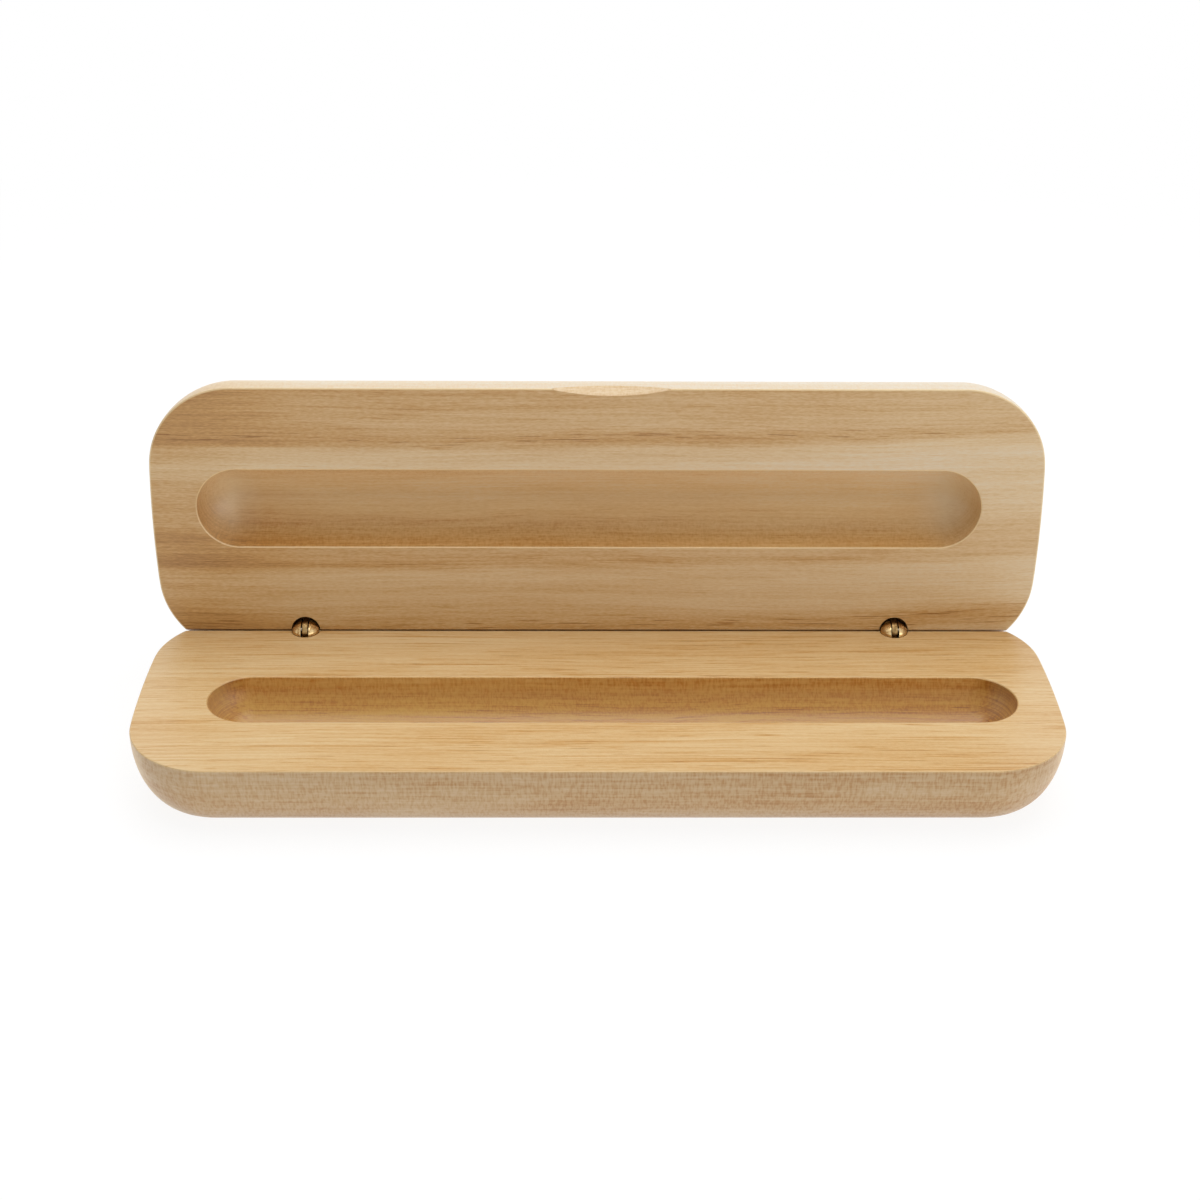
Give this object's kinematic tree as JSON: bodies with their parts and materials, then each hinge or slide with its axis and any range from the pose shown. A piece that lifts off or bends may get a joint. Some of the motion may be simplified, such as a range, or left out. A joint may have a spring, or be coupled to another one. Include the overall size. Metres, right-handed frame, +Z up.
{
  "type": "pen case",
  "caption": "Slim wooden pen case with a routed, ball-ended groove in each half, a thumb notch in the lid's edge and concealed barrel hinges along the back.",
  "frame": {"origin": "centre of the outline of the base's flat underside, which rests on the table", "axes": "+X along the case to the right, +Y to the back where the hinges are, +Z up; the lid stands open"},
  "size_m": [0.175, 0.0685, 0.0649],
  "materials": {
    "base_wood": "satin",
    "lid_wood": "satin",
    "hinge_brass": "aged",
    "pin_steel": "plain"
  },
  "bodies": {
    "base": {"base": "base_wood", "left_hinge_fork": "hinge_brass", "left_hinge_pin": "pin_steel", "right_hinge_fork": "hinge_brass", "right_hinge_pin": "pin_steel"},
    "lid": {"lid": "lid_wood", "left_hinge_tongue": "hinge_brass", "right_hinge_tongue": "hinge_brass"}
  },
  "joints": [
    {"name": "lid_hinge", "type": "hinge", "parent": "base", "child": "lid", "pos_m": [0, 0.0228, 0.0141], "axis": [1, 0, 0], "range_deg": [0, 94.5]}
  ]
}
